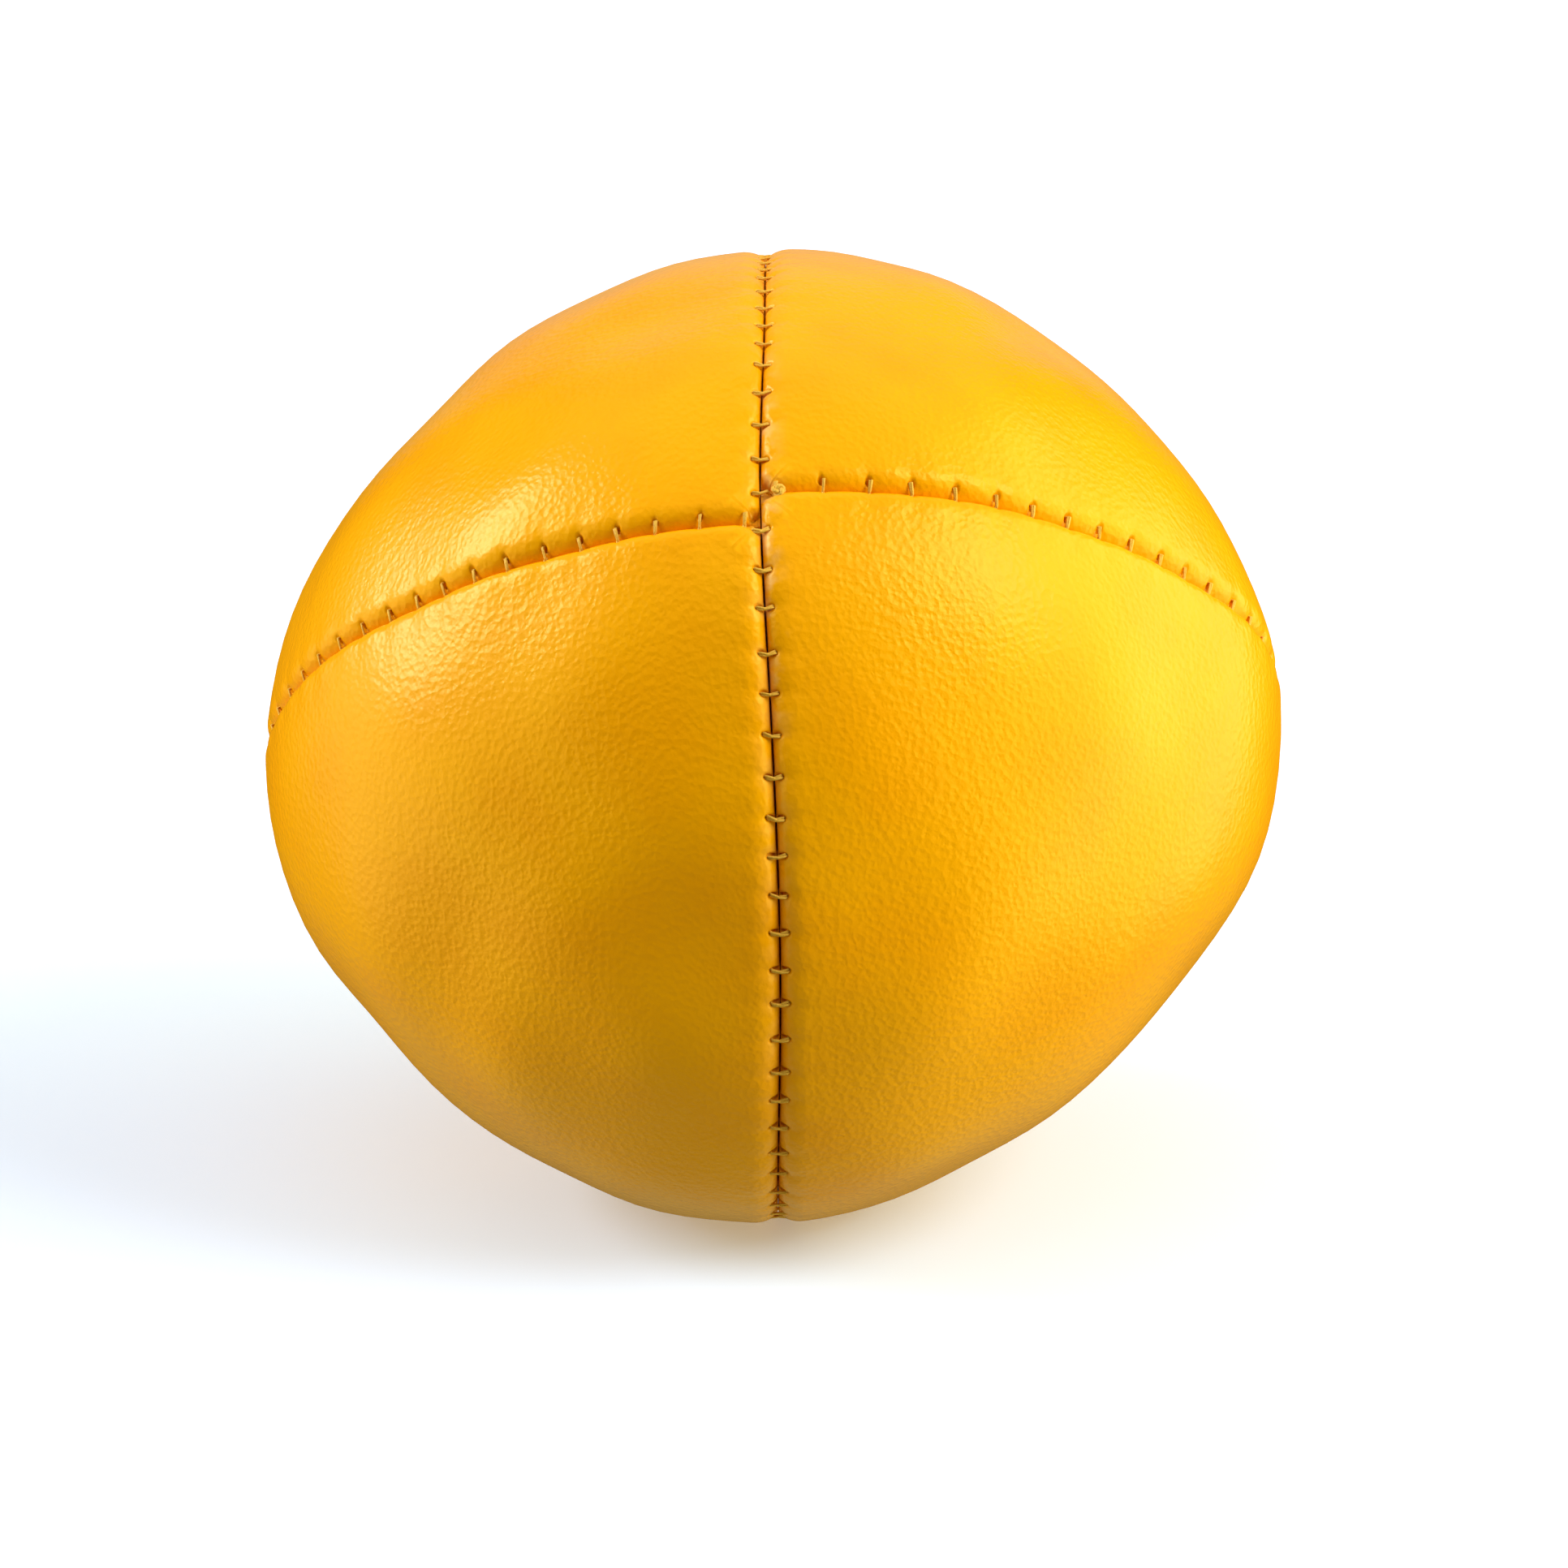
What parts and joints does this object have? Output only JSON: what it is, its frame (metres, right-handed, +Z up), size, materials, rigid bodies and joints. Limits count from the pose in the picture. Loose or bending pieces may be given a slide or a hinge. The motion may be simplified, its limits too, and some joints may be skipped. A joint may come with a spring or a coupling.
{
  "type": "hand therapy ball",
  "caption": "Hand-sized weighted ball: stitched leather-cloth panels over a cotton bag of millet, lying at rest on its flattened underside.",
  "frame": {"origin": "middle of the underside of the resting ball's bounding box, on the floor", "axes": "+Z up from the floor; -Y towards the front, the side where the panels' front tips meet; +X to the right as seen from the front"},
  "size_m": [0.0674, 0.0642, 0.0623],
  "materials": {
    "leather_cloth": "satin",
    "sewing_thread": "matte",
    "cotton": "matte",
    "millet": "satin"
  },
  "bodies": {
    "root": {"cover_panel_upper_left": "leather_cloth", "cover_panel_lower_left": "leather_cloth", "cover_panel_upper_right": "leather_cloth", "cover_panel_lower_right": "leather_cloth", "left_seam_needle_thread": "sewing_thread", "left_seam_bobbin_thread": "sewing_thread", "right_seam_needle_thread": "sewing_thread", "right_seam_bobbin_thread": "sewing_thread", "main_seam_needle_thread": "sewing_thread", "main_seam_bobbin_thread": "sewing_thread", "closing_thread": "sewing_thread", "inner_bag_front": "cotton", "inner_bag_back": "cotton", "inner_bag_thread": "cotton", "millet_filling": "millet"}
  },
  "joints": []
}
